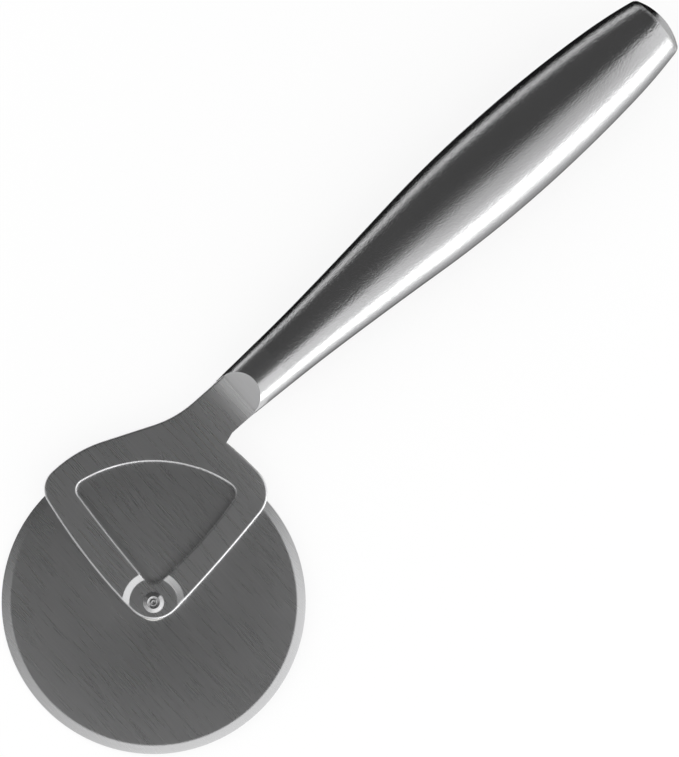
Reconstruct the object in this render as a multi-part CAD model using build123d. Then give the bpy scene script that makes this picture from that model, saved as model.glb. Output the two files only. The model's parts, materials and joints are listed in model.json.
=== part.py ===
from build123d import *
from math import atan2, degrees, sqrt, tan
import os

# Pizza cutter wheel, in millimetres.
# The pieces are drawn about the wheel's centre: X runs along the handle to its end, Y points across it
# to the handle's side of the wheel, and Z is the wheel's axle, up through the front of the plate.
# Z = 0 is the handle's middle plane.
# The finished tool is then laid down as it lies on a table, on the wheel's rim and the handle's belly.

# Cutting wheel
wheel_diameter = 70.0
wheel_thickness = 1.0
bevel_width = 2.15
honed_width = 1.05
honed_thickness = 0.6
edge_land = 0.1

# Clearances, and how closely a measured size has to match
running_clearance = 0.05
seat_clearance = 0.05
match_tolerance = 0.001

# Carrier plate: sheet, how far its front rises over the handle's middle, and pressed dimple round the
# pivot, whose bends are rounder by a step than the edges that run through them
plate_thickness = 2.0
plate_rise = 1.4
front_edge_radius = 0.5
back_edge_chamfer = 0.25
axis_offset = 22.9
dimple_depth = 0.8
dimple_floor_radius = 5.6
dimple_slope_run = 1.5
dimple_bend_step = 0.1

# Carrier plate: corners of the outline before they are rounded, and how far its long sides bow out
crown_rise = 2.97
crown_setback = 1.97
crown_length = 12.0
crown_radius = 5.5
brow_radius = 30.0
root_setback = 3.1
root_radius = 25.0
neck_half_width = 5.55
neck_foot_drop = 5.7
neck_ramp_length = 8.0
neck_ramp_rise = 0.8
nose_reach = 4.4
nose_drop = 5.18
nose_radius = 7.0
cheek_bow = 1.71
heel_overhang = 3.2
heel_rise = 0.19
heel_radius = 7.0
heel_bow = 0.3
sill_bow = 0.67
notch_overhang = 1.95
notch_depth = 0.8
notch_ramp_length = 2.45

# Carrier plate: window, whose curved side runs inside the wheel's edge
window_margin = 2.7
window_left = 2.0
window_lean = 1.6
window_left_bow = 0.28
window_floor = 2.85
window_floor_rise = 3.2
window_floor_bow = 1.17
window_top_radius = 2.3
window_heel_radius = 2.4
window_foot_radius = 2.6

# Pivot: shoulder rivet and the two washers that the wheel runs between
shank_diameter = 4.0
shoulder_diameter = 5.0
washer_diameter = 8.6
washer_thickness = 0.5
lip_diameter = 4.9
lip_height = 0.62
lip_crest_diameter = 3.7
lip_bore_diameter = 2.6
lip_bore_depth = 1.1
rivet_head_diameter = 9.0
rivet_head_height = 0.8
rivet_head_rim = 0.45
rivet_crown_diameter = 6.0

# Neck bolster: solid nose of the handle, with a slot for the plate's tang, and the front scoop's slope
# from the corner where it leaves the neck's own slope
neck_gap = 9.5
bolster_length = 13.5
front_lip_length = 2.0
front_scoop_lead = 0.9
front_scoop_run = 3.85
front_scoop_rise = 3.6
front_scoop_bend_radius = 2.5
back_scoop_radius = 10.0
back_scoop_lead = 1.5
tang_half_width = 4.3
tang_relief = 0.2
tang_length = 10.5
tang_corner_radius = 1.0
spigot_length = 8.0

# Handle: hollow, round in section, and swelling to a belly
grip_length = 115.7
belly_radius = 11.2
handle_wall = 1.2
cap_rise = 3.0
cap_rim_length = 0.95
cap_rim_drop = 0.3
cap_corner_radius = 1.0
cap_wall = 1.5
cap_spigot_length = 5.0
cap_spigot_wall = 1.2

# Where the arcs of the grip's line meet, from the bolster over the belly to the end: the place along the
# grip as a share of its length, and its radius there as a share of the belly's radius
station_shares = ((0.0, 0.568), (0.1188, 0.646), (0.3596, 0.869), (0.6137, 1.0), (0.8816, 0.872), (1.0, 0.692))
belly_station = 3
samples_per_arc = 200

# Sizes worked out from those above
wheel_radius = wheel_diameter / 2
plate_front = plate_rise
plate_back = plate_front - plate_thickness
plate_middle = (plate_front + plate_back) / 2
washer_seat = plate_back - dimple_depth
pivot_floor = plate_front - dimple_depth
dimple_wide_radius = dimple_floor_radius + dimple_slope_run
dimple_bend_radius = front_edge_radius + dimple_bend_step
wheel_front = washer_seat - washer_thickness - running_clearance
wheel_back = wheel_front - wheel_thickness
head_seat = wheel_back - running_clearance - washer_thickness
neck_start = wheel_radius + neck_gap
grip_start = neck_start + bolster_length
handle_end = grip_start + grip_length
tang_shoulder = neck_start + front_lip_length
neck_front = plate_front + neck_ramp_rise
window_radius = wheel_radius - window_margin
handle_axis = Axis((0, axis_offset, 0), (1, 0, 0))
pivot_axis = Axis.Z


def outline_face(points, bows, radii):
    """A closed outline: each side leaves its point straight, or bowed out, and each corner is rounded."""
    ends = points[1:] + points[:1]
    sides = [
        SagittaArc(start, end, -bow) if bow else Line(start, end)
        for start, end, bow in zip(points, ends, bows)
    ]
    face = make_face(sides)
    for point, radius in zip(points, radii):
        if radius:
            corner = face.vertices().sort_by_distance((*point, 0))[0]
            face = fillet(corner, radius)
    return face


def stations(inset=0):
    """Where the arcs of the grip's line meet, as places and radii, drawn inward by an inset."""
    return [
        (grip_start + place * grip_length, radius * belly_radius - inset) for place, radius in station_shares
    ]


def handle_line():
    """The handle's line: arcs that run on from each other, both ways from the belly, where it is level,
    and along the bolster a straight taper that carries the last one on."""
    points = stations()
    arcs = []
    for path, heading in ((points[belly_station:], (1, 0)), (points[belly_station::-1], (-1, 0))):
        for start, end in zip(path, path[1:]):
            arcs.append(TangentArc(start, end, tangent=heading))
            heading = arcs[-1] % 1
    grip_foot = arcs[-1] @ 1
    taper = Line(grip_foot, grip_foot - heading * (bolster_length / heading.X))
    return [*arcs, taper]


def profile_face(start, end):
    """The handle's half section between two places."""
    line = handle_line()
    rest = Polyline(stations()[-1], (handle_end, 0), (neck_start, 0), line[-1] @ 1)
    whole = make_face([*line, *rest.edges()])
    slab = Pos((start + end) / 2, 0) * Rectangle(end - start, 4 * belly_radius)
    return whole & slab


def hollow_face():
    """The half section of the grip's hollow, a wall inside the stations and straight between them."""
    return make_face(Polyline((grip_start, 0), *stations(handle_wall), (handle_end, 0), close=True))


def turned(face, arc=360):
    """A solid turned about the handle's axis from a half section, starting at the handle's middle plane."""
    return revolve(Pos(0, axis_offset) * face, handle_axis, arc)


def make_cutting_wheel():
    """The disc: flat faces, a ground bevel, and a finer honed bevel that ends in a narrow land."""
    middle = (wheel_front + wheel_back) / 2
    half_section = [
        (shoulder_diameter / 2 + running_clearance, wheel_thickness / 2),
        (wheel_radius - bevel_width, wheel_thickness / 2),
        (wheel_radius - honed_width, honed_thickness / 2),
        (wheel_radius, edge_land / 2),
    ]
    mirrored = [(radius, -height) for radius, height in reversed(half_section)]
    section = make_face(Polyline(*half_section, *mirrored, close=True))
    return Pos(0, 0, middle) * revolve(Plane.XZ * section, pivot_axis)


def plate_outline():
    """The plate's outer outline, from the nose round the heel, neck and crown, its brow between slopes."""
    neck_top = axis_offset + neck_half_width
    neck_foot = axis_offset - neck_foot_drop
    crown_y = wheel_radius + crown_rise
    brow_x = crown_length - crown_setback
    root_x = wheel_radius - root_setback
    slope = atan2(crown_y - neck_top, root_x - brow_x)
    brow_limit = (crown_length - crown_radius) / tan(slope / 2)
    corners = [
        ((-nose_reach, -nose_drop), sill_bow, nose_radius),
        ((wheel_radius + heel_overhang, heel_rise), heel_bow, heel_radius),
        ((wheel_radius + notch_overhang, neck_foot - notch_depth), 0, 0),
        ((wheel_radius + notch_overhang + notch_ramp_length, neck_foot), 0, 0),
        ((tang_shoulder, neck_foot), 0, 0),
        ((tang_shoulder, neck_top), 0, 0),
        ((root_x, neck_top), 0, root_radius),
        ((brow_x, crown_y), 0, min(brow_radius, brow_limit)),
        ((-crown_setback, crown_y), cheek_bow, crown_radius),
    ]
    points, bows, radii = (list(column) for column in zip(*corners))
    return outline_face(points, bows, radii)


def window_outline():
    """The window: a bowed left side and floor, and a curved side that keeps inside the wheel's edge."""
    top_x = window_left + window_lean
    heel_y = window_floor + window_floor_rise
    foot = (window_left, window_floor)
    heel = (sqrt(window_radius**2 - heel_y**2), heel_y)
    top = (top_x, sqrt(window_radius**2 - top_x**2))
    heel_angle = degrees(atan2(heel[1], heel[0]))
    top_angle = degrees(atan2(top[1], top[0]))
    sides = [
        SagittaArc(foot, heel, -window_floor_bow),
        CenterArc((0, 0), window_radius, heel_angle, top_angle - heel_angle),
        SagittaArc(top, foot, -window_left_bow),
    ]
    face = make_face(sides)
    for point, radius in ((foot, window_foot_radius), (heel, window_heel_radius), (top, window_top_radius)):
        corner = face.vertices().sort_by_distance((*point, 0))[0]
        face = fillet(corner, radius)
    return face


def pressed_sheet():
    """A disc of the sheet, wider than the blank, with the round dimple pressed into it and its bends eased."""
    rim = handle_end
    section = make_face(
        Polyline(
            (0, washer_seat),
            (dimple_floor_radius, washer_seat),
            (dimple_wide_radius, plate_back),
            (rim, plate_back),
            (rim, plate_front),
            (dimple_wide_radius, plate_front),
            (dimple_floor_radius, pivot_floor),
            (0, pivot_floor),
            close=True,
        )
    )
    bends = section.vertices().filter_by(lambda corner: 0 < corner.X < rim)
    return revolve(Plane.XZ * fillet(bends, dimple_bend_radius), pivot_axis)


def neck_ramp():
    """The neck's front, which rises in one long arc to the shoulder of its tang."""
    start = (tang_shoulder - neck_ramp_length, plate_front)
    end = (tang_shoulder, neck_front)
    rise = TangentArc(start, end, tangent=(1, 0))
    rest = Polyline(end, (end[0], plate_middle), (start[0], plate_middle), start)
    section = make_face([rise, *rest.edges()])
    return Pos(0, axis_offset) * extrude(Plane.XZ * section, 2 * neck_half_width, both=True)


def stays_sharp(wall):
    """Whether a wall of the plate is the neck's end or its foot, whose edges aren't broken."""
    place = wall.center()
    at_end = place.X > tang_shoulder - match_tolerance
    at_foot = place.X > wheel_radius + notch_overhang and place.Y < axis_offset
    return at_end or at_foot


def rims(plate, side):
    """The edges of the outline and the window that are broken, on the plate's front (side 1) or back (-1)."""
    walls = [
        face
        for face in plate.faces()
        if abs(face.normal_at().Z) < match_tolerance and not stays_sharp(face)
    ]
    return [
        edge
        for wall in walls
        for edge in wall.edges()
        if abs((edge % 0.5).Z) < 0.5 and side * (edge.center().Z - wall.center().Z) > 0
    ]


def tang(half_width, corner_radius):
    """The tongue that the plate's neck ends in, thinner than the plate, and its slot with square corners."""
    place = Pos(tang_shoulder + tang_length / 2, axis_offset, plate_middle)
    tongue = place * Box(tang_length, 2 * half_width, plate_thickness - 2 * tang_relief)
    if corner_radius:
        tongue = fillet(tongue.edges().filter_by(Axis.Z).group_by(Axis.X)[-1], corner_radius)
    return tongue


def make_carrier_plate():
    """The stamped plate: blanked outline and window, the dimple pressed through it, and soft edges."""
    blank = plate_outline() - window_outline()
    sheet = pressed_sheet() + neck_ramp()
    plate = extrude(Pos(0, 0, washer_seat) * blank, neck_front - washer_seat) & sheet
    plate = chamfer(rims(plate, -1), back_edge_chamfer)
    plate = fillet(rims(plate, 1), front_edge_radius)
    bore = Cylinder(shank_diameter / 2 + seat_clearance, 4 * plate_thickness)
    return plate + tang(tang_half_width, tang_corner_radius) - bore


def make_pivot_rivet():
    """The shoulder rivet: low coned head, shoulder, shank, and a lip rolled outward over the plate."""
    head_radius = rivet_head_diameter / 2
    lip_radius = lip_diameter / 2
    crest = (lip_crest_diameter / 2, pivot_floor + lip_height)
    bore_radius = lip_bore_diameter / 2
    bore_floor = pivot_floor + lip_height - lip_bore_depth
    lip_edge = (lip_radius, pivot_floor)
    bore_edge = (bore_radius, (crest[1] + bore_floor) / 2)
    crown_height = head_seat - rivet_head_height
    outline = [
        *Polyline(
            (0, bore_floor),
            (bore_radius, bore_floor),
            bore_edge,
        ).edges(),
        TangentArc(crest, bore_edge, tangent=(-1, 0)),
        TangentArc(crest, lip_edge, tangent=(1, 0)),
        *Polyline(
            lip_edge,
            (shank_diameter / 2, pivot_floor),
            (shank_diameter / 2, washer_seat),
            (shoulder_diameter / 2, washer_seat),
            (shoulder_diameter / 2, head_seat),
            (head_radius, head_seat),
            (head_radius, head_seat - rivet_head_rim),
            (rivet_crown_diameter / 2, crown_height),
            (0, crown_height),
            (0, bore_floor),
        ).edges(),
    ]
    return revolve(Plane.XZ * make_face(outline), pivot_axis)


def make_washer(top):
    """A flat washer on the rivet's shoulder, its upper face at a height."""
    bore = shoulder_diameter / 2 + seat_clearance
    washer = Cylinder(washer_diameter / 2, washer_thickness) - Cylinder(bore, washer_thickness)
    return Pos(0, 0, top - washer_thickness / 2) * washer


def front_scoop():
    """The cutter over the scoop in front: it carries the neck's slope on, then bends up a steeper one."""
    slope = 2 * atan2(neck_ramp_rise, neck_ramp_length)
    corner = (tang_shoulder + front_scoop_lead, neck_front + front_scoop_lead * tan(slope))
    far = (corner[0] + 2 * front_scoop_run, corner[1] + 2 * front_scoop_rise)
    section = make_face(
        Polyline((tang_shoulder, neck_front), corner, far, (tang_shoulder, far[1]), close=True)
    )
    section = fillet(section.vertices().sort_by_distance((*corner, 0))[0], front_scoop_bend_radius)
    return Pos(0, axis_offset) * extrude(Plane.XZ * section, 2 * belly_radius, both=True)


def back_scoop():
    """The round cutter behind: it leaves the plate's back tangentially, a little ahead of the bolster."""
    cutter = Cylinder(back_scoop_radius, 4 * belly_radius, rotation=(90, 0, 0))
    return Pos(neck_start - back_scoop_lead, axis_offset, plate_back - back_scoop_radius) * cutter


def make_neck_bolster():
    """The handle's solid nose: a cradle behind the plate, a slot for its tang, and a spigot."""
    nose = turned(profile_face(neck_start, grip_start))
    spigot_radius = stations(handle_wall)[0][1] - seat_clearance
    spigot_section = Pos(grip_start + spigot_length / 2, spigot_radius / 2) * Rectangle(
        spigot_length, spigot_radius
    )
    spigot = turned(spigot_section)
    above_plate = Pos((neck_start + tang_shoulder) / 2, axis_offset, plate_back + belly_radius) * Box(
        tang_shoulder - neck_start, 4 * belly_radius, 2 * belly_radius
    )
    slot = tang(tang_half_width + seat_clearance, 0)
    return nose + spigot - above_plate - slot - front_scoop() - back_scoop()


def make_handle_shell(turn):
    """Half of the hollow grip, cut along the handle's middle plane."""
    wall = profile_face(grip_start, handle_end) - hollow_face()
    return turned(wall, 180).rotate(handle_axis, turn)


def make_handle_end_cap():
    """The domed cap: a short rim that carries the grip's line on, a rounded corner, a dome and a spigot."""
    rim_radius = stations()[-1][1]
    spigot_radius = rim_radius - handle_wall - seat_clearance
    bore_radius = spigot_radius - cap_spigot_wall
    corner = (handle_end + cap_rim_length, rim_radius - cap_rim_drop)
    vertex = (handle_end + cap_rise, 0)
    dome = TangentArc(vertex, corner, tangent=(0, 1))
    rest = Polyline(
        corner,
        (handle_end, rim_radius),
        (handle_end, spigot_radius),
        (handle_end - cap_spigot_length, spigot_radius),
        (handle_end - cap_spigot_length, bore_radius),
        (handle_end + cap_rise - cap_wall - cap_rim_length, bore_radius),
        (handle_end + cap_rise - cap_wall, 0),
        vertex,
    )
    section = make_face([dome, *rest.edges()])
    section = fillet(section.vertices().sort_by_distance((*corner, 0))[0], cap_corner_radius)
    return turned(section)


def lying_pitch():
    """The tilt at which the wheel's lower bevel corner and the handle's belly touch one table."""
    corner_x = wheel_radius - bevel_width
    places = [
        arc @ (sample / samples_per_arc) for arc in handle_line() for sample in range(samples_per_arc + 1)
    ]
    return max(degrees(atan2(place.Y + wheel_back, place.X + corner_x)) for place in places)


pieces = {
    "cutting_wheel": make_cutting_wheel(),
    "carrier_plate": make_carrier_plate(),
    "pivot_rivet": make_pivot_rivet(),
    "front_washer": make_washer(washer_seat),
    "back_washer": make_washer(head_seat + washer_thickness),
    "neck_bolster": make_neck_bolster(),
    "handle_front_shell": make_handle_shell(0),
    "handle_back_shell": make_handle_shell(180),
    "handle_end_cap": make_handle_end_cap(),
}

# Lay the tool down and set the origin at the bottom centre of its box
lay_down = Rotation(0, -lying_pitch(), 0)
box = Compound([lay_down * piece for piece in pieces.values()]).bounding_box()
placed = Pos(-box.center().X, -box.center().Y, -box.min.Z) * lay_down

os.makedirs("parts", exist_ok=True)
for name, piece in pieces.items():
    export_step(placed * piece, f"parts/{name}.step")
    print(name, "volume", round(piece.volume, 1), "mm3")

print("wheel centre at", placed.position, "turned by", placed.orientation)
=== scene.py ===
# %% [markdown]
# # A steel pizza cutter
#
# The tool is a round blade that spins beside a pressed steel plate, on the end of a smooth hollow
# handle. All of it is stainless steel, so nearly everything that the eye reads as its look is
# reflection: the shapes have to be smooth, the grinding marks have to be fine, and the studio round
# the tool matters as much as the tool.
#
# The solids come from a packed model. We load it first, because every piece that we add rides on one
# of its bodies: the blade on the body that turns, everything else on the handle's body.

# %% Load the packed model
import json
import math

import bpy
import numpy as np
from mathutils import Matrix


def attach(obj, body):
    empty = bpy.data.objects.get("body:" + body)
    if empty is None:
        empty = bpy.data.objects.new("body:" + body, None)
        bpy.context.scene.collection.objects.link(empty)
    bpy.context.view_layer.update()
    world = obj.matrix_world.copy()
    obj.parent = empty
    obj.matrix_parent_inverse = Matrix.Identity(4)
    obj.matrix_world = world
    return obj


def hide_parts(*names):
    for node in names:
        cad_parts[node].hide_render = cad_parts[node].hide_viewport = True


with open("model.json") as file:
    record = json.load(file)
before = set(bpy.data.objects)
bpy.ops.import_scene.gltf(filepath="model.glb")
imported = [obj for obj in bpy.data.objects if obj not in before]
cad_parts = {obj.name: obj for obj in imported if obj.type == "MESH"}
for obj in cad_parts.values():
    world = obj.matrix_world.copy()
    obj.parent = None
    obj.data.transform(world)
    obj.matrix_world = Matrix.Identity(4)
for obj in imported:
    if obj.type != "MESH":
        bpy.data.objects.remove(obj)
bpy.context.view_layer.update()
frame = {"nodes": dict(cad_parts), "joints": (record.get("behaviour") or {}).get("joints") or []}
print("nodes:", sorted(frame["nodes"]))

# %% [markdown]
# ## The tool's own axes
#
# The tool lies on a table on its blade's rim and its handle's belly, so it is tipped by a few degrees.
# Shapes are easier to think of in the tool's own axes: x from the blade's centre along the handle, y
# across to the handle's side, and z along the axle, up through the front of the plate. The joint that
# the blade spins on gives the axle's place and direction, and that is all we need to turn millimetres
# on the tool into metres in the scene. The joint sits half-way through the blade's thickness, which is
# a little behind the pivot that we measure from.

# %% From the tool's millimetres to the scene's metres
MM = 0.001
spin = frame["joints"][0]
axle = np.array(spin["axis"], float)
across = np.array([0.0, 1.0, 0.0])
along = np.cross(across, axle)
tool_axes = np.array([along, across, axle])
blade_middle = -2.45
pivot = np.array(spin["pos_m"], float) - blade_middle * MM * axle


def to_scene(points):
    """Scene metres = the pivot + x, y and z in millimetres along the tool's three axes."""
    return pivot + MM * np.asarray(points, float) @ tool_axes


print("the tool is tipped by", round(math.degrees(math.asin(-axle[0])), 3), "degrees")

# %% [markdown]
# ## The camera
#
# The photograph looks straight down on the flat of the blade, with the handle rising to the right. A
# long lens far off keeps the circle of the blade a true circle. The camera is put on the line that
# stands square to the plate at the middle of the picture, and its lens is as long as it takes for the
# picture to span the measured width at that distance.

# %% Camera
handle_slope = math.radians(41.4855)
picture_middle = (66.13, 10.21, -1.0)
picture_span = 156.2 * MM
camera_distance = 2.2

right = math.cos(handle_slope) * along - math.sin(handle_slope) * across
up = math.sin(handle_slope) * along + math.cos(handle_slope) * across
camera_place = to_scene(picture_middle) + camera_distance * axle


def placed(x_axis, y_axis, z_axis, place):
    """The matrix of an object whose own axes point along the three given ones, at a place."""
    return Matrix([[x_axis[i], y_axis[i], z_axis[i], place[i]] for i in range(3)] + [[0, 0, 0, 1]])


camera_data = bpy.data.cameras.new("camera")
camera = bpy.data.objects.new("camera", camera_data)
bpy.context.scene.collection.objects.link(camera)
camera_data.sensor_fit = "HORIZONTAL"
camera_data.sensor_width = 36
camera_data.lens = camera_data.sensor_width * camera_distance / picture_span
camera.matrix_world = placed(right, up, axle, camera_place)
bpy.context.scene.camera = camera
bpy.context.scene.view_settings.view_transform = "Standard"
print("lens of", round(camera_data.lens), "mm for a picture", round(picture_span / MM, 1), "mm wide")

# %% [markdown]
# ## From points and faces to a piece
#
# Every piece ends as points and faces that close round a volume. Faces that point outwards give that
# volume a positive sign, so the sign tells us whether to turn them all round. Normals are then
# smoothed, except across edges that are sharper than the rounding of any corner that we draw.

# %% Mesh from points and faces
sharp_angle = math.radians(35)


def add_mesh(name, points, quads, fans=()):
    """A closed piece from points in the tool's millimetres, quads, and triangles that fan out at poles.

    Its volume is the sum over all triangles of a . (b x c) / 6, with a, b and c their corners."""
    fans = np.reshape(np.asarray(fans, int), (-1, 3))
    triangles = np.concatenate([quads[:, [0, 1, 2]], quads[:, [0, 2, 3]], fans])
    a, b, c = (points[triangles[:, corner]] for corner in range(3))
    volume = np.einsum("ij,ij->i", a, np.cross(b, c)).sum() / 6
    if volume < 0:
        quads, fans = quads[:, ::-1], fans[:, ::-1]
    mesh = bpy.data.meshes.new(name)
    mesh.from_pydata(to_scene(points).tolist(), [], quads.tolist() + fans.tolist())
    mesh.shade_smooth()
    mesh.set_sharp_from_angle(angle=sharp_angle)
    piece = bpy.data.objects.new(name, mesh)
    bpy.context.scene.collection.objects.link(piece)
    print(name, len(points), "points,", len(triangles), "triangles,", round(abs(volume)), "mm3")
    return piece


print("edges sharper than", round(math.degrees(sharp_angle)), "degrees stay sharp")

# %% [markdown]
# ## From a grid to a turned piece
#
# Lathe work is a profile carried round an axis. As a grid, each row is one point of the profile and
# each column one direction round the axis, so neighbours on the grid are neighbours on the surface. The
# columns close on themselves, and the two end rows close in poles: each is a single point on the axis
# that a fan of triangles joins to its row. A ring, such as the blade with its hole, closes its rows too.

# %% Turned pieces
def add_turned(name, rows, poles=None):
    """A closed piece from a grid of points, rows by columns.

    The columns close on themselves. Without poles the rows do too; with poles, a pair of points, each
    end row is joined to its pole by a fan."""
    count, width = rows.shape[:2]
    index = np.arange(count * width).reshape(count, width)
    beside = np.roll(index, -1, axis=1)
    points = rows.reshape(-1, 3)
    if poles is None:
        above, above_beside = np.roll(index, -1, axis=0), np.roll(beside, -1, axis=0)
        quads = np.stack([index, beside, above_beside, above], axis=-1).reshape(-1, 4)
        return add_mesh(name, points, quads)
    quads = np.stack([index[:-1], beside[:-1], beside[1:], index[1:]], axis=-1).reshape(-1, 4)
    first, last = len(points), len(points) + 1
    fans = np.concatenate([
        np.stack([np.full(width, first), beside[0], index[0]], axis=-1),
        np.stack([np.full(width, last), index[-1], beside[-1]], axis=-1),
    ])
    return add_mesh(name, np.concatenate([points, np.asarray(poles, float)]), quads, fans)


def round_axle(profile, columns):
    """A profile of radius and height, carried round the axle: x and y = the radius times the cosine and
    sine of the angle, z = the height."""
    angle = np.linspace(0, 2 * math.pi, columns, endpoint=False)
    radius, height = np.asarray(profile, float).T[:, :, None]
    return np.stack([radius * np.cos(angle), radius * np.sin(angle), height * np.ones_like(angle)], axis=-1)


print("a profile of two points in four columns is a grid of", round_axle([(1, 0), (2, 0)], 4).shape)

# %% [markdown]
# ## Rounding a profile's corners
#
# No real edge is perfectly sharp, and on bright metal the small round of an edge is what catches the
# light. A profile is drawn with straight runs and a rounding for each corner, and this helper swaps
# each corner for a short curve.

# %% Soft corners
def soft_profile(corners, steps=6):
    """Points along a chain of straight runs whose corners are rounded.

    A corner with a reach is replaced by the curve (1-t)^2 * before + 2t(1-t) * corner + t^2 * after,
    where before and after lie that reach away from the corner on its two runs."""
    points = np.array([corner[:2] for corner in corners], float)
    reaches = [corner[2] if len(corner) > 2 else 0 for corner in corners]
    share = np.linspace(0, 1, steps)[:, None]
    drawn = []
    for i, reach in enumerate(reaches):
        if not reach:
            drawn.append(points[i][None])
            continue
        back = points[i - 1] - points[i]
        ahead = points[(i + 1) % len(points)] - points[i]
        before = points[i] + reach * back / np.linalg.norm(back)
        after = points[i] + reach * ahead / np.linalg.norm(ahead)
        drawn.append((1 - share) ** 2 * before + 2 * share * (1 - share) * points[i] + share ** 2 * after)
    return np.concatenate(drawn)


print("a corner with a reach becomes", len(soft_profile([(0, 0), (1, 0, 0.1), (1, 1)])) - 2, "points")

# %% [markdown]
# ## The blade
#
# The blade is a disc one millimetre thick. Its rim is ground in two steps: a broad bevel, and a finer
# honed bevel that ends in the cutting edge. It could be a lathe shape or a bevelled cylinder. A profile
# turned round the axle is the most direct, and it lets each grinding step have its own soft corner. Each
# corner of the profile is a radius, a height over the blade's middle, and the reach of its rounding.

# %% Blade
blade_front_profile = [
    (2.56, 0.5, 0.04),
    (33.0, 0.5, 0.3),
    (33.95, 0.28, 0.06),
    (35.0, 0.05, 0.02),
]
blade_profile = [(r, blade_middle + z, reach) for r, z, reach in blade_front_profile]
blade_profile += [(r, blade_middle - z, reach) for r, z, reach in reversed(blade_front_profile)]
blade = add_turned("blade", round_axle(soft_profile(blade_profile), columns=360))
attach(blade, "wheel")
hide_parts("cutting_wheel")

# %% [markdown]
# ## The handle's line
#
# Seen from above, the grip swells to a belly and narrows again to its end. Its line was fitted by
# arcs that run on from each other with no kink, level at the belly. We rebuild it the same way: from
# the belly outwards, each arc leaves in the direction in which the last one arrived, and passes
# through the next station. A station is a place along the grip, as a share of its length, and the
# radius there, as a share of the belly's.

# %% Arcs of the handle
handle_side = 22.9
grip_start, grip_end = 58.0, 173.7
belly = 11.2
station_shares = np.array([
    (0.0, 0.568), (0.1188, 0.646), (0.3596, 0.869), (0.6137, 1.0), (0.8816, 0.872), (1.0, 0.692),
])
stations = station_shares * (grip_end - grip_start, belly) + (grip_start, 0)
belly_station = 3
steps_per_arc = 40


def running_arcs(points, heading):
    """Arcs through the points, each tangent to the one before.

    For a chord c and a heading h, the arc turns by twice the angle between them, and its point at a
    share s of the turn lies at the start + chord-length * sin(s * turn / 2) / sin(turn / 2), at the
    heading turned by s * turn / 2."""
    drawn = [points[:1]]
    for start, end in zip(points, points[1:]):
        chord = end - start
        length = np.hypot(*chord)
        half_turn = math.atan2(heading[0] * chord[1] - heading[1] * chord[0], heading @ chord)
        share = np.linspace(0, 1, steps_per_arc + 1)[1:]
        angle = math.atan2(heading[1], heading[0]) + share * half_turn
        reach = length * np.sin(share * half_turn) / math.sin(half_turn)
        drawn.append(start + reach[:, None] * np.stack([np.cos(angle), np.sin(angle)], axis=-1))
        turn = math.atan2(heading[1], heading[0]) + 2 * half_turn
        heading = np.array([math.cos(turn), math.sin(turn)])
    return np.concatenate(drawn)


toward_neck = running_arcs(stations[belly_station::-1], np.array([-1.0, 0.0]))
toward_end = running_arcs(stations[belly_station:], np.array([1.0, 0.0]))
handle_line = np.concatenate([toward_neck[::-1], toward_end[1:]])
widest = handle_line[handle_line[:, 1].argmax()]
print("belly of", round(widest[1], 2), "mm at", round(widest[0], 1))

# %% [markdown]
# ## The two halves of the handle
#
# A handle like this is pressed as two half shells, welded along its sides and polished until the seam
# is gone. Each half is one closed surface: its section runs half-way round outside, steps in by the
# wall's thickness, and comes back inside. Carrying that section along the handle's line keeps the
# reflections as calm as on the real one, which the facets of a converted solid would not. The two ends
# are closed by strips between the outside and the inside.

# %% Handle shells
wall = 1.2
half_columns = 121


def add_half_shell(name, first_angle):
    """Half of the hollow handle. Its section is a half ring: outside at the handle's radius r, inside
    at r - wall, at angles from the first one over half a turn; x runs along the handle."""
    places, radius = handle_line.T
    half_turn = np.linspace(0, math.pi, half_columns)
    angle = first_angle + np.concatenate([half_turn, half_turn[::-1]])
    inside = np.repeat([0, 1], half_columns)
    reach = radius[:, None] - wall * inside
    points = np.stack([
        places[:, None] * np.ones_like(angle),
        handle_side + reach * np.cos(angle),
        reach * np.sin(angle),
    ], axis=-1).reshape(-1, 3)
    index = np.arange(len(points)).reshape(len(places), -1)
    beside = np.roll(index, -1, axis=1)
    sides = np.stack([index[:-1], beside[:-1], beside[1:], index[1:]], axis=-1).reshape(-1, 4)
    step = np.arange(half_columns - 1)
    across_wall = 2 * half_columns - 1 - step
    ends = [
        np.stack([row[step], row[across_wall], row[across_wall - 1], row[step + 1]], axis=-1)[:, ::turn]
        for row, turn in ((index[0], 1), (index[-1], -1))
    ]
    shell = add_mesh(name, points, np.concatenate([sides, *ends]))
    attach(shell, "handle")
    return shell


front_shell = add_half_shell("handle_front", 0)
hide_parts("handle_front_shell")
back_shell = add_half_shell("handle_back", math.pi)
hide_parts("handle_back_shell")

# %% [markdown]
# ## The end cap
#
# The handle is closed by a shallow dome that carries the grip's line on for a millimetre, turns over
# a soft corner, and rises to its middle. It is a lathe shape about the handle's own axis, so the
# profile is turned about x instead of z. The dome is part of a ball, and its line stops short of the
# edge to leave room for the soft corner. Behind its rim a spigot reaches into the hollow handle.

# %% End cap
cap_rise, cap_rim, cap_rim_drop = 3.0, 0.95, 0.3
corner_reach, corner_room = 0.75, 0.55
spigot_length, spigot_gap = 5.0, 0.05
dome_rings, smallest_ring = 24, 0.15


def round_handle(profile, columns):
    """A profile of place and radius, carried round the handle's axis: x = the place, y = the handle's
    side + radius times the cosine, z = radius times the sine of the angle."""
    angle = np.linspace(0, 2 * math.pi, columns, endpoint=False)
    place, radius = np.asarray(profile, float).T[:, :, None]
    return np.stack([
        place * np.ones_like(angle),
        handle_side + radius * np.cos(angle),
        radius * np.sin(angle),
    ], axis=-1)


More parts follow.
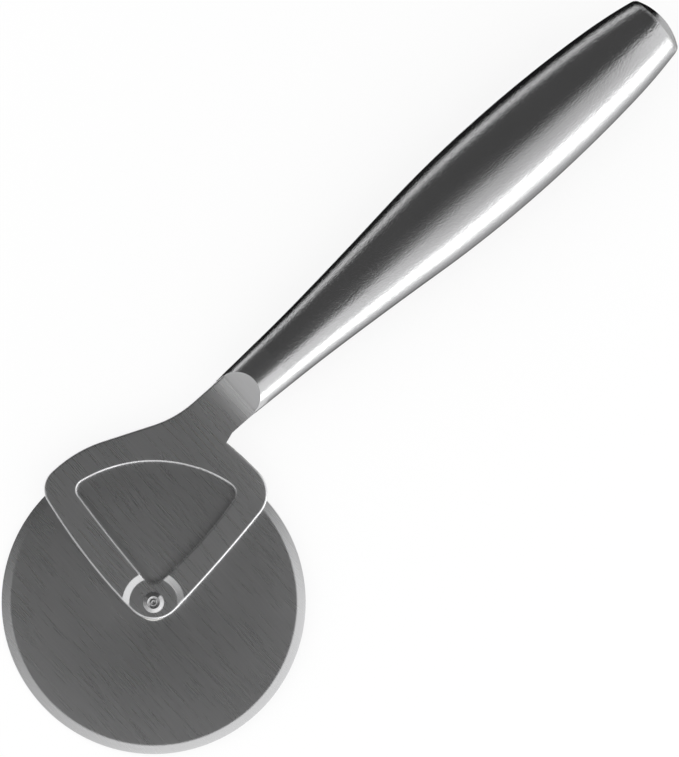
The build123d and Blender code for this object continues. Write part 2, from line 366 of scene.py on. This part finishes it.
rim_radius = stations[-1, 1]
dome_edge = rim_radius - cap_rim_drop
dome_depth = cap_rise - cap_rim
dome_radius = (dome_edge ** 2 + dome_depth ** 2) / (2 * dome_depth)
dome_radii = np.linspace(smallest_ring, dome_edge - corner_room, dome_rings)
dome_places = grip_end + cap_rise - dome_radius + np.sqrt(dome_radius ** 2 - dome_radii ** 2)
dome = np.stack([dome_places, dome_radii], axis=-1).tolist()
corner = soft_profile(
    [dome[-1], (grip_end + cap_rim, dome_edge, corner_reach), (grip_end, rim_radius)], steps=10,
)
spigot_radius = rim_radius - wall - spigot_gap
spigot = [(grip_end, spigot_radius), (grip_end - spigot_length, spigot_radius)]
end_cap = add_turned(
    "end_cap", round_handle(dome[:-1] + corner.tolist() + spigot, columns=240),
    poles=[(grip_end + cap_rise, handle_side, 0), (grip_end - spigot_length, handle_side, 0)],
)
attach(end_cap, "handle")
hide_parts("handle_end_cap")

# %% [markdown]
# ## The rivet
#
# The blade hangs on a semi-tubular rivet. In front, its tube is rolled outward into a lip that sits in
# the plate's dimple, round a shallow hollow with the small pit that the rolling tool's point left.
# Behind the blade it has a low head. One profile, from the pole in the pit over the lip, down the shank
# and round the head, makes all of it.

# %% Rivet
dimple_floor, dimple_seat, head_seat, head_depth = 0.6, -1.4, -3.5, 0.8
pit_floor = dimple_floor - 0.4
head_back = head_seat - head_depth
rivet_profile = soft_profile([
    (0.2, pit_floor),
    (0.26, dimple_floor + 0.24, 0.05),
    (0.6, dimple_floor + 0.3, 0.1),
    (1.0, dimple_floor + 0.22, 0.12),
    (1.25, dimple_floor + 0.55, 0.12),
    (1.5, dimple_floor + 0.62, 0.14),
    (2.25, dimple_floor + 0.1, 0.12),
    (2.45, dimple_floor, 0.02),
    (2.0, dimple_floor),
    (2.0, dimple_seat),
    (2.5, dimple_seat),
    (2.5, head_seat),
    (4.5, head_seat, 0.1),
    (4.5, head_seat - 0.45, 0.15),
    (3.0, head_back, 0.5),
    (0.4, head_back),
])
rivet = add_turned(
    "rivet", round_axle(rivet_profile, columns=160), poles=[(0, 0, pit_floor), (0, 0, head_back)],
)
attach(rivet, "handle")
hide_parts("pivot_rivet")

# %% [markdown]
# ## Shader maths as Python
#
# A procedural finish is a sum of small formulas: where on the tool a point is, how a fine noise
# varies there, how much of it reaches the colour. Wiring that by hand is slow to read, so one small
# class wraps a socket, and plain +, -, *, / and ** on it add the Math nodes. The forms that start with
# an r are for a plain number in front, as in 1 - mask.

# %% A socket that can be reckoned with
class Channel:
    """A socket of a finish. Arithmetic on it adds Math nodes to the same finish."""

    def __init__(self, finish, socket):
        self.finish = finish
        self.socket = socket

    def math(self, operation, first, second):
        return self.finish.node("ShaderNodeMath", {"operation": operation}, {0: first, 1: second})

    def __add__(self, other):
        return self.math("ADD", self, other)

    def __radd__(self, other):
        return self.math("ADD", other, self)

    def __sub__(self, other):
        return self.math("SUBTRACT", self, other)

    def __rsub__(self, other):
        return self.math("SUBTRACT", other, self)

    def __mul__(self, other):
        return self.math("MULTIPLY", self, other)

    def __rmul__(self, other):
        return self.math("MULTIPLY", other, self)

    def __truediv__(self, other):
        return self.math("DIVIDE", self, other)

    def __rtruediv__(self, other):
        return self.math("DIVIDE", other, self)

    def __pow__(self, other):
        return self.math("POWER", self, other)

    def __rpow__(self, other):
        return self.math("POWER", other, self)

    def clamped(self):
        """The same number, held between 0 and 1."""
        return self.finish.node("ShaderNodeClamp", {}, {0: self})


print("a channel can be added, subtracted, multiplied, divided, raised to a power and clamped")

# %% [markdown]
# ## A finish
#
# A finish is one material with one shader. Its methods add the few kinds of node that steel and nylon
# need, and give back channels. Every pattern starts from Object coordinates, so it stays on its piece
# when the piece turns, and these are turned into the tool's own millimetres first, so that the size of
# a grain can be written as it is.

# %% A material that is built from formulas
class Finish:
    """A material whose nodes are added from Python, with the tool's own coordinates at hand."""

    def __init__(self, name):
        self.material = bpy.data.materials.new(name)
        self.material.use_nodes = True
        self.tree = self.material.node_tree
        self.tree.nodes.clear()
        self.shader = self.tree.nodes.new("ShaderNodeBsdfPrincipled")
        output = self.tree.nodes.new("ShaderNodeOutputMaterial")
        self.tree.links.new(self.shader.outputs[0], output.inputs[0])

    def node(self, kind, settings, sockets, output=0):
        """Any node: its settings are set first, then its sockets, by name or number, get values or links."""
        made = self.tree.nodes.new(kind)
        for name, value in settings.items():
            setattr(made, name, value)
        for name, value in sockets.items():
            if isinstance(value, Channel):
                self.tree.links.new(value.socket, made.inputs[name])
            else:
                made.inputs[name].default_value = value
        return Channel(self, made.outputs[output])

    def place(self):
        """Where a point is on the tool, in millimetres: its x, y and z are the dot products of its way
        from the pivot with the tool's three axes."""
        point = self.node("ShaderNodeTexCoord", {}, {}, "Object")
        way = self.node("ShaderNodeVectorMath", {"operation": "SUBTRACT"}, {0: point, 1: tuple(pivot)})
        return [
            self.node("ShaderNodeVectorMath", {"operation": "DOT_PRODUCT"},
                      {0: way, 1: tuple(axis / MM)}, "Value")
            for axis in tool_axes
        ]

    def noise(self, place, per_mm, detail=2.0, roughness=0.5):
        """Smooth noise from 0 to 1 that changes about per_mm times in each millimetre along each axis."""
        scaled = {i: channel * rate for i, (channel, rate) in enumerate(zip(place, per_mm))}
        where = self.node("ShaderNodeCombineXYZ", {}, scaled)
        return self.node("ShaderNodeTexNoise", {"noise_dimensions": "3D"},
                         {"Vector": where, "Scale": 1.0, "Detail": detail, "Roughness": roughness})

    def blend(self, share, first, second):
        """A colour between two, each a channel or three numbers: the first where the share is 0, the
        second where it is 1."""
        first, second = (color if isinstance(color, Channel) else (*color, 1) for color in (first, second))
        return self.node("ShaderNodeMix", {"data_type": "RGBA"}, {0: share, 6: first, 7: second}, 2)

    def bump(self, height, distance):
        """A normal bent by a height, where a height of 1 stands a distance in metres off the surface."""
        return self.node("ShaderNodeBump", {}, {"Strength": 1.0, "Distance": distance, "Height": height})

    def coat(self, **sockets):
        """Sets the shader's sockets by name: Base_Color stands for Base Color, and so on."""
        for name, value in sockets.items():
            socket = self.shader.inputs[name.replace("_", " ")]
            if isinstance(value, Channel):
                self.tree.links.new(value.socket, socket)
            else:
                socket.default_value = value
        print("finish", self.material.name, "has", len(self.tree.nodes), "nodes")
        return self.material


print("a finish can", [name for name in vars(Finish) if not name.startswith("_")])

# %% [markdown]
# ## Ground and brushed steel
#
# The sheet that the blade and the plate are cut from was brushed in one direction before cutting, so
# both carry fine straight scratches along y. Stretching a noise along y, thirty to forty times longer
# than it is wide, gives such scratches: they tint the metal very slightly and tip its normal from side
# to side. A broad cloud shifts them sideways here and there, so that they don't look ruled.
#
# Two places differ. The blade's bevel was ground round the axle, so it is lighter and has rings. Toward
# its neck the plate is painted lighter: a painted reflection that stands in for the brighter light
# where the neck rises to the handle.

# %% Sheet steel
sheet_roughness, sheet_relief = 0.28, 0.000008
bevel_blend, bevel_dark, bevel_light = 0.35, 0.62, 0.70
# Painted reflection on the plate's neck: how far it blends in, and its lighter shade.
painted_sheen_blend, painted_sheen_shade = 9.0, 0.82


def steel(shade):
    """The colour of steel at a shade from 0 to 1: grey, with a trace of blue."""
    return shade, shade, shade + 0.005


def sheet_steel(name, dark, light, ground_from=None, painted_sheen_from=None):
    """Brushed sheet: noises stretched along y tint the metal and tip its normal from side to side.

    Outside the radius ground_from, over bevel_blend millimetres, it turns into the ground bevel. From a
    given place along x on, over a few millimetres, its colour is painted lighter: a painted reflection
    of the brighter light where the neck rises."""
    finish = Finish(name)
    x, y, z = finish.place()
    cloud = finish.noise((x, y, z), (0.08, 0.05, 0.05), detail=1.0)
    bent = x + cloud * 2.0
    grain = finish.noise((bent, y, z), (2.2, 0.07, 0.5), detail=1.0)
    fine = finish.noise((bent, y, z), (5.0, 0.12, 0.5), detail=0.0)
    scratches = grain * 0.45 + fine * 0.35 + cloud * 0.2
    rough = scratches * 0.08 + (sheet_roughness - 0.04)
    height = grain * 0.6 + fine * 0.4
    color = finish.blend(scratches, steel(dark), steel(light))
    if ground_from:
        radius = (x * x + y * y) ** 0.5
        bevel = ((radius - ground_from) / bevel_blend).clamped()
        rings = finish.noise((radius, x, y), (9.0, 0.05, 0.05), detail=2.0)
        color = finish.blend(bevel, color, finish.blend(rings, steel(bevel_dark), steel(bevel_light)))
        height = height * (1 - bevel) + rings * bevel * 0.1
    # Painted reflection: the plate's colour is lightened toward the neck, for the brighter light on its
    # rise.
    if painted_sheen_from:
        painted_sheen = ((x - painted_sheen_from) / painted_sheen_blend).clamped()
        color = finish.blend(painted_sheen, color, steel(painted_sheen_shade))
    normal = finish.bump(height, sheet_relief)
    return finish.coat(Base_Color=color, Metallic=1.0, Roughness=rough, Normal=normal)


blade_steel = sheet_steel("blade_steel", 0.50, 0.64, ground_from=32.9)
# The plate's neck gets a painted reflection: its colour is painted lighter toward the handle.
plate_steel = sheet_steel("plate_steel", 0.60, 0.73, painted_sheen_from=32.0)

# %% [markdown]
# ## The satin handle
#
# The handle was blasted to an even satin and then lightly polished, so instead of scratches it has a
# fine mottle that shows only where a dark and a light reflection meet. A noise of about 0.4 mm, the
# same in all directions, bends the normal for it. A finer speckle tints the metal, and a broad cloud
# varies its gloss. The rivet has the same finish with a far weaker mottle, because the rolling tool
# left it smooth.

# %% Satin steel
def satin_steel(name, dark, light, roughness, relief):
    """Satin metal: a mottle bends the normal by the relief, a speckle tints the colour, and a broad
    cloud varies the gloss."""
    finish = Finish(name)
    place = finish.place()
    mottle = finish.noise(place, (2.4, 2.4, 2.4), detail=2.0, roughness=0.6)
    cloud = finish.noise(place, (0.1, 0.2, 0.2), detail=2.0)
    speckle = finish.noise(place, (4.4, 4.4, 4.4), detail=1.0)
    color = finish.blend(speckle * 0.8 + cloud * 0.2, steel(dark), steel(light))
    rough = cloud * 0.06 + (roughness - 0.03)
    normal = finish.bump(mottle, relief)
    return finish.coat(Base_Color=color, Metallic=1.0, Roughness=rough, Normal=normal)


handle_steel = satin_steel("handle_steel", 0.49, 0.65, 0.17, 0.00008)
rivet_steel = satin_steel("rivet_steel", 0.60, 0.68, 0.22, 0.000005)

# %% [markdown]
# ## The bolster
#
# The bolster is the solid nose of the handle. It was turned to a slender cone and finished with the
# handle, and then its scoops were milled and brushed like the plate that they lead on from. One
# finish does both: how far a point lies below the cone tells whether it is in a scoop.

# %% Bolster steel
cone_start, cone_radius, cone_growth = 44.5, 5.66, 0.048
scoop_blend = 0.08


def bolster_steel():
    """Satin on the cone and brushing in its scoops. The depth below the cone is its radius, which
    grows with x from the cone's start, less the distance from the handle's axis."""
    finish = Finish("bolster_steel")
    x, y, z = finish.place()
    side = y - handle_side
    depth = (x - cone_start) * cone_growth + cone_radius - (side * side + z * z) ** 0.5
    scooped = (depth / scoop_blend).clamped()
    mottle = finish.noise((x, y, z), (3.2, 3.2, 3.2), detail=2.0, roughness=0.6)
    grain = finish.noise((x, y, z), (5.0, 0.13, 0.5), detail=3.0, roughness=0.6)
    color = finish.blend(mottle * (1 - scooped) + grain * scooped, steel(0.57), steel(0.63))
    rough = scooped * 0.08 + 0.22
    normal = finish.bump(mottle * (1 - scooped) + grain * scooped * 0.4, 0.00004)
    return finish.coat(Base_Color=color, Metallic=1.0, Roughness=rough, Normal=normal)


nose_steel = bolster_steel()

# %% [markdown]
# ## The washers
#
# Two thin nylon washers keep the blade from rubbing on the plate and on the rivet's head. Only their
# edges show, from the side. They are moulded plastic: off-white, barely glossy, and slightly uneven.

# %% Washer nylon
def washer_nylon():
    """Moulded nylon: a soft cloud varies an off-white and its roughness."""
    finish = Finish("washer_nylon")
    cloud = finish.noise(finish.place(), (0.8, 0.8, 0.8), detail=3.0)
    color = finish.blend(cloud, (0.76, 0.75, 0.72), (0.85, 0.845, 0.82))
    return finish.coat(Base_Color=color, Roughness=cloud * 0.1 + 0.4, Normal=finish.bump(cloud, 0.00002))


nylon = washer_nylon()

# %% [markdown]
# ## A finish for every piece
#
# The pieces that we drew and the packed pieces that are still shown, the plate, the bolster and the
# washers, each get one finish in place of whatever material they came with.

# %% Give every piece its finish
finishes = {
    "blade": blade_steel,
    "handle_front": handle_steel,
    "handle_back": handle_steel,
    "end_cap": handle_steel,
    "rivet": rivet_steel,
    "carrier_plate": plate_steel,
    "neck_bolster": nose_steel,
    "front_washer": nylon,
    "back_washer": nylon,
}
for name, material in finishes.items():
    materials = bpy.data.objects[name].data.materials
    materials.clear()
    materials.append(material)
print(len(finishes), "pieces have a finish")

# %% [markdown]
# ## The table
#
# The photograph has a pure white ground. A floor that glows at a strength of 1 would be white but
# would swallow the shadow, so it is part glow and part matt paint: in the open the two add up to
# white, and under the tool the painted part darkens.

# %% Floor
half_floor, floor_paint, floor_glow_share = 3.0, 0.97, 0.8


def stage_material(name):
    """An empty material for what isn't part of the tool, and its nodes."""
    material = bpy.data.materials.new(name)
    material.use_nodes = True
    material.node_tree.nodes.clear()
    return material, material.node_tree


def add_sheet(name, points, faces, material):
    """A thin sheet from points in scene metres and faces."""
    mesh = bpy.data.meshes.new(name)
    mesh.from_pydata([tuple(point) for point in points], [], faces)
    mesh.materials.append(material)
    sheet = bpy.data.objects.new(name, mesh)
    bpy.context.scene.collection.objects.link(sheet)
    return sheet


floor_material, tree = stage_material("floor_paint")
glow = tree.nodes.new("ShaderNodeEmission")
glow.inputs["Color"].default_value = (1, 1, 1, 1)
glow.inputs["Strength"].default_value = 1.0
paint = tree.nodes.new("ShaderNodeBsdfDiffuse")
paint.inputs["Color"].default_value = (floor_paint, floor_paint, floor_paint, 1)
mix = tree.nodes.new("ShaderNodeMixShader")
mix.inputs[0].default_value = floor_glow_share
tree.links.new(paint.outputs[0], mix.inputs[1])
tree.links.new(glow.outputs[0], mix.inputs[2])
tree.links.new(mix.outputs[0], tree.nodes.new("ShaderNodeOutputMaterial").inputs[0])
floor_corners = [(half_floor * a, half_floor * b, 0) for a, b in ((-1, -1), (1, -1), (1, 1), (-1, 1))]
sheet = add_sheet("floor", floor_corners, [(0, 1, 2, 3)], floor_material)
print("floor", 2 * half_floor, "m wide, of which", floor_glow_share, "glows")

# %% [markdown]
# ## The world
#
# Steel is photographed between white surroundings and dark cards, so the world is white. Light Path
# tells how a ray came there: one level is for what the camera, a reflection or glass looks at, where a
# strength of 1 is white, and another is for what the world lights. Here both are plain white, and the
# cards and the lamp do the rest.

# %% World
seen_level, lighting_level = 1.0, 1.0

world = bpy.data.worlds.new("studio")
bpy.context.scene.world = world
world.use_nodes = True
tree = world.node_tree
tree.nodes.clear()
rays = tree.nodes.new("ShaderNodeLightPath")
seen = rays.outputs["Is Camera Ray"]
for kind in ("Is Glossy Ray", "Is Transmission Ray"):
    either = tree.nodes.new("ShaderNodeMath")
    either.operation = "MAXIMUM"
    tree.links.new(seen, either.inputs[0])
    tree.links.new(rays.outputs[kind], either.inputs[1])
    seen = either.outputs[0]
level = tree.nodes.new("ShaderNodeMapRange")
level.inputs["To Min"].default_value = lighting_level
level.inputs["To Max"].default_value = seen_level
tree.links.new(seen, level.inputs["Value"])
sky = tree.nodes.new("ShaderNodeBackground")
sky.inputs["Color"].default_value = (1, 1, 1, 1)
tree.links.new(level.outputs[0], sky.inputs["Strength"])
tree.links.new(sky.outputs[0], tree.nodes.new("ShaderNodeOutputWorld").inputs[0])
print("world level", seen_level, "where it is seen and", lighting_level, "where it lights")

# %% [markdown]
# ## Cards over the tool
#
# What a round handle mirrors changes fast across it: its middle sees what is overhead, its flanks see
# the sides, and its edges see the table. So the cards are bent round the handle's axis, and an angle
# from straight up says which strip of the handle each one colours. The dark arch gives the far half of
# the handle and the flats of blade and plate their deep grey, and a second one of the same shade
# carries it on over the blade alone. Three nearer and smaller ones pass over from it to the light side
# of the handle. The shades were found by comparing renders with the photograph.
#
# A card is there for reflections alone: the camera, soft light and shadows don't know of it.

# %% Arched cards
far, near = 550, 120
arch_columns = 33


def add_card(name, points, faces, material_name, shade):
    """A card of one even shade that shows in reflections and nowhere else."""
    material, tree = stage_material(material_name)
    glow = tree.nodes.new("ShaderNodeEmission")
    glow.inputs["Color"].default_value = (shade, shade, shade, 1)
    tree.links.new(glow.outputs[0], tree.nodes.new("ShaderNodeOutputMaterial").inputs[0])
    card = add_sheet(name, points, faces, material)
    card.visible_camera = False
    card.visible_diffuse = False
    card.visible_shadow = False
    card.visible_transmission = False


def add_arch(name, angles, radius, places, shade):
    """A card bent round the handle's axis: x between the two places, and at the angle a from straight
    up, y = the handle's side + radius * sin(a) and z = radius * cos(a), in millimetres."""
    angle = np.radians(np.linspace(*angles, arch_columns))
    flat = np.ones_like(angle)
    rows = [
        np.stack([x * flat, handle_side + radius * np.sin(angle), radius * np.cos(angle)], axis=-1)
        for x in places
    ]
    faces = [(i, i + 1, arch_columns + i + 1, arch_columns + i) for i in range(arch_columns - 1)]
    add_card(f"{name}_arch", to_scene(np.concatenate(rows)), faces, f"{name}_card", shade)


add_arch("dark", (-5, 93), far, (-140, 600), 0.09)
add_arch("blade", (-22, -5), far, (-140, 110), 0.09)
add_arch("soft", (-5, 14), near, (72, 125), 0.15)
add_arch("grey", (-20, -5), near, (72, 200), 0.42)
add_arch("light", (-48, -20), near, (72, 200), 0.68)
print("five arches,", far, "and", near, "mm from the handle's axis")

# %% [markdown]
# ## Cards at the two ends
#
# The blade's bevel is a cone, so it mirrors the surroundings all round the table at once. Four upright
# cards past the blade, each darker than the last, let the bevel fade from bright to dark along the rim,
# as in the photograph. One more stands past the handle's end, and darkens its cap.

# %% Upright cards
wall_foot, wall_top = -20, 1300
left_place, right_place = -350, 620


def add_wall(name, place, start, end, material_name, shade):
    """An upright card across the tool: x = the place, y from start to end, in millimetres."""
    corners = [
        (place, start, wall_foot), (place, end, wall_foot), (place, end, wall_top), (place, start, wall_top),
    ]
    add_card(name, to_scene(corners), [(0, 1, 2, 3)], material_name, shade)


left_edges = [-260, -70, 110, 330, 1200]
left_shades = [0.78, 0.6, 0.39, 0.18]
for number, shade in enumerate(left_shades):
    start, end = left_edges[number:number + 2]
    add_wall(f"left_wall_{number}", left_place, start, end, f"left_card_{number}", shade)
add_wall("right_wall", right_place, 30, 1200, "right_card", 0.08)
print(len(left_shades) + 1, "upright cards")

# %% [markdown]
# ## Cards on the table
#
# Toward its two edges the handle mirrors the table right beside it. Flat cards just over the floor
# draw what the photograph shows there: a black line along the far edge, with a bright one inside it
# where the white table shows between two cards, and a soft dark line along the near edge. On the near
# side a glowing strip and two grey ones carry the white band out to that line, and past the handle's
# end three more shade its cap. The outlines follow the handle, because its height over the table, and
# with it the place that it mirrors, changes along it.

# %% Cards just over the table
strip_height = 0.3


def add_strip(name, shade, outline):
    """A flat card just over the table between points of x and y on the tool, in millimetres."""
    points = to_scene([(x, y, 0) for x, y in outline])
    points[:, 2] = strip_height * MM
    add_card(f"{name}_strip", points, [tuple(range(len(outline)))], f"{name}_card", shade)


add_strip("black", 0.004, [(43, 30), (129, 37), (178, 33), (181, 25), (205, 25), (205, 74), (150, 74),
                           (129, 71), (105, 64), (80, 57), (60, 56), (43, 50)])
add_strip("end", 0.08, [(215, 25), (610, 25), (610, 400), (232, 180)])
add_strip("far", 0.10, [(20, 140), (75, 135), (90, 125), (110, 130), (140, 175), (230, 180), (230, 572),
                        (20, 572)])
add_strip("near", 0.05, [(43, 20), (178, 20), (178, 11), (160, 8), (129, 7), (90, 9), (43, 13)])
add_strip("side", 0.4, [(50, 13), (90, 9), (129, 7), (160, 8), (178, 11), (178, -1), (165, -2),
                        (129, -3.5), (90, 1.5), (50, 7)])
add_strip("pale", 0.65, [(50, 7), (90, 1.5), (129, -3.5), (165, -2), (178, -1), (178, -12),
                         (165, -13), (129, -14), (90, -7), (50, 1)])
add_strip("cap", 0.62, [(181, 25), (210, 25), (210, -12), (181, -12)])
add_strip("rim", 0.03, [(178, 11), (178, 36), (181, 36), (181, 11)])
add_strip("glow", 3.2, [(-60, -50), (100, -50), (130, -60), (300, -60), (300, -260), (-60, -260)])
print("nine strips", strip_height, "mm over the table")

# %% [markdown]
# ## The lamp
#
# One long softbox stands low on the near side. It burns the white band along the handle, which is
# brighter than white surroundings could make it, and lights the near bevel and edges. A lamp's power is
# pi * area * radiance, so its brightness in a mirror is set by its radiance, whatever its size.

# %% Softbox
lamp_angle, lamp_distance, lamp_place = math.radians(-81.5), 520, 100
lamp_width, lamp_length, lamp_radiance = 100, 900, 3.0

lamp = bpy.data.lights.new("low_softbox", "AREA")
lamp.shape = "RECTANGLE"
lamp.size, lamp.size_y = lamp_length * MM, lamp_width * MM
lamp.energy = math.pi * lamp.size * lamp.size_y * lamp_radiance
softbox = bpy.data.objects.new("low_softbox", lamp)
bpy.context.scene.collection.objects.link(softbox)
outward = math.sin(lamp_angle) * across + math.cos(lamp_angle) * axle
place = to_scene((lamp_place, handle_side, 0)) + lamp_distance * MM * outward
softbox.matrix_world = placed(along, np.cross(outward, along), outward, place)
softbox.visible_camera = False
print("softbox of", round(lamp.energy, 2), "W")

# %% [markdown]
# ## The last look
#
# The pieces that we drew must fill the same box as the packed solids, or the tool would have changed
# its size.
